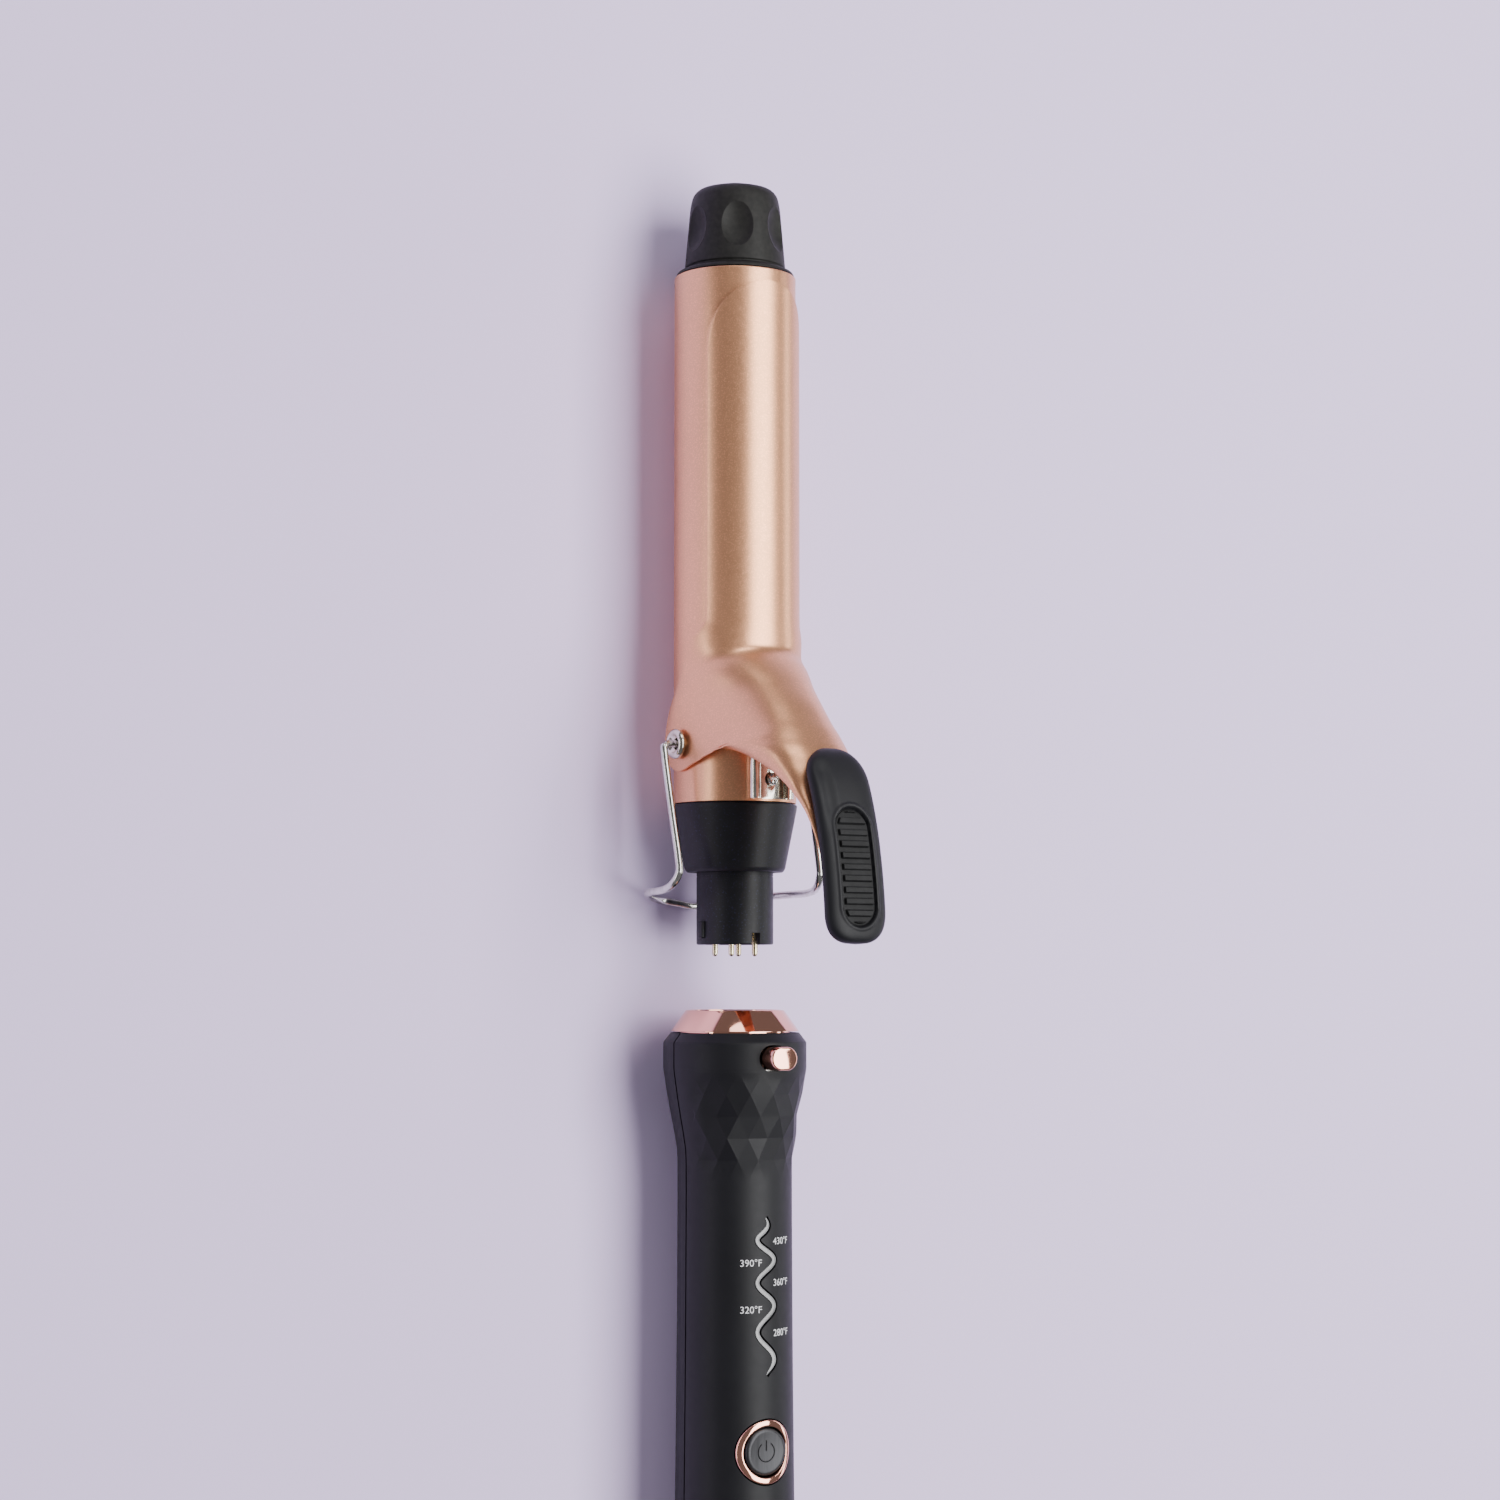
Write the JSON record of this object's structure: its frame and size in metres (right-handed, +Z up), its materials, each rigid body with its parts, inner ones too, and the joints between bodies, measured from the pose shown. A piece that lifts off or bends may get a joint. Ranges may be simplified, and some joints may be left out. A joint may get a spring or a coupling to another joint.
{
  "type": "curling iron",
  "caption": "Curling iron with a plug-in barrel pulled off its handle, a spring clip with a thumb lever, and a fold-down wire stand.",
  "frame": {"origin": "on the surface it rests on, under the middle of the whole iron with its barrel pulled out", "axes": "+Y along the iron to the cool tip, +Z up on the side of the lever and buttons"},
  "size_m": [0.047, 0.3912, 0.0786],
  "materials": {
    "rose_satin": "satin rose gold",
    "rose_mirror": "polished rose gold plate",
    "nickel": "polished",
    "steel": "satin",
    "brass": "polished",
    "aluminium": "as cast",
    "black_plastic": "soft black",
    "tip_plastic": "matt, heat resistant",
    "grey_plastic": "satin",
    "board_green": "solder mask",
    "ceramic": "matt ceramic",
    "smoke_clear": "smoked",
    "rubber": "matt"
  },
  "bodies": {
    "handle": {"collar_ring": "rose_mirror", "socket_housing": "black_plastic", "contact_block": "black_plastic", "contact_sleeve_1": "brass", "contact_sleeve_2": "brass", "contact_sleeve_3": "brass", "contact_sleeve_4": "brass", "handle_front_shell": "black_plastic", "handle_rear_shell": "black_plastic", "handle_screw_1": "steel", "handle_screw_2": "steel", "light_pipe": "smoke_clear", "led_1": "ceramic", "led_2": "ceramic", "led_3": "ceramic", "led_4": "ceramic", "led_5": "ceramic", "power_button_ring": "rose_mirror", "tact_switch": "grey_plastic", "circuit_board": "board_green", "latch_spring": "steel", "tail_cap": "black_plastic", "swivel_brush_block": "grey_plastic"},
    "release": {"release_button": "rose_mirror", "release_latch": "steel"},
    "power": {"power_button_cap": "grey_plastic"},
    "cord_exit": {"cord_gland": "black_plastic", "swivel_slip_ring": "brass"},
    "attachment": {"barrel_tube": "rose_satin", "cool_tip": "tip_plastic", "tip_end_disc": "grey_plastic", "base_cone": "black_plastic", "plug_body": "black_plastic", "pin_base": "black_plastic", "contact_pin_1": "brass", "contact_pin_2": "brass", "contact_pin_3": "brass", "contact_pin_4": "brass", "heater_lead_1": "rubber", "heater_lead_2": "rubber", "heater_lead_3": "rubber", "heater_lead_4": "rubber", "heater_plate": "ceramic", "heat_spreader_upper": "aluminium", "heat_spreader_lower": "aluminium", "thermistor": "ceramic", "pivot_rivet_left": "nickel", "pivot_rivet_right": "nickel", "spring_bracket": "nickel", "bracket_screw": "steel", "leaf_spring": "steel"},
    "clip": {"clip_plate": "rose_satin", "thumb_rest": "black_plastic", "thumb_pad": "rubber"},
    "stand": {"wire_stand": "steel"}
  },
  "joints": [
    {"name": "attachment_slide", "type": "slide", "parent": "handle", "child": "attachment", "axis": [0, 1, 0], "range_m": [-0.035, 0]},
    {"name": "clip_hinge", "type": "hinge", "parent": "attachment", "child": "clip", "pos_m": [0, 0.04815, 0.0216], "axis": [1, 0, 0], "range_deg": [0, 20], "stiffness_Nm_per_rad": 0.4, "springref_deg": -20.05, "deforming": ["leaf_spring"]},
    {"name": "stand_hinge", "type": "hinge", "parent": "attachment", "child": "stand", "pos_m": [0, 0.04815, 0.0216], "axis": [1, 0, 0], "range_deg": [0, 115]},
    {"name": "release_button_press", "type": "slide", "parent": "handle", "child": "release", "axis": [0, 0, -1], "range_m": [0, 0.0015], "stiffness_N_per_m": 600, "springref_m": -0.001, "deforming": ["latch_spring"]},
    {"name": "power_button_press", "type": "slide", "parent": "handle", "child": "power", "axis": [0, 0, -1], "range_m": [0, 0.0006], "stiffness_N_per_m": 1000, "springref_m": -0.0005},
    {"name": "cord_swivel", "type": "hinge", "parent": "handle", "child": "cord_exit", "pos_m": [0, -0.17965, 0.0216], "axis": [0, 1, 0], "continuous": true}
  ]
}
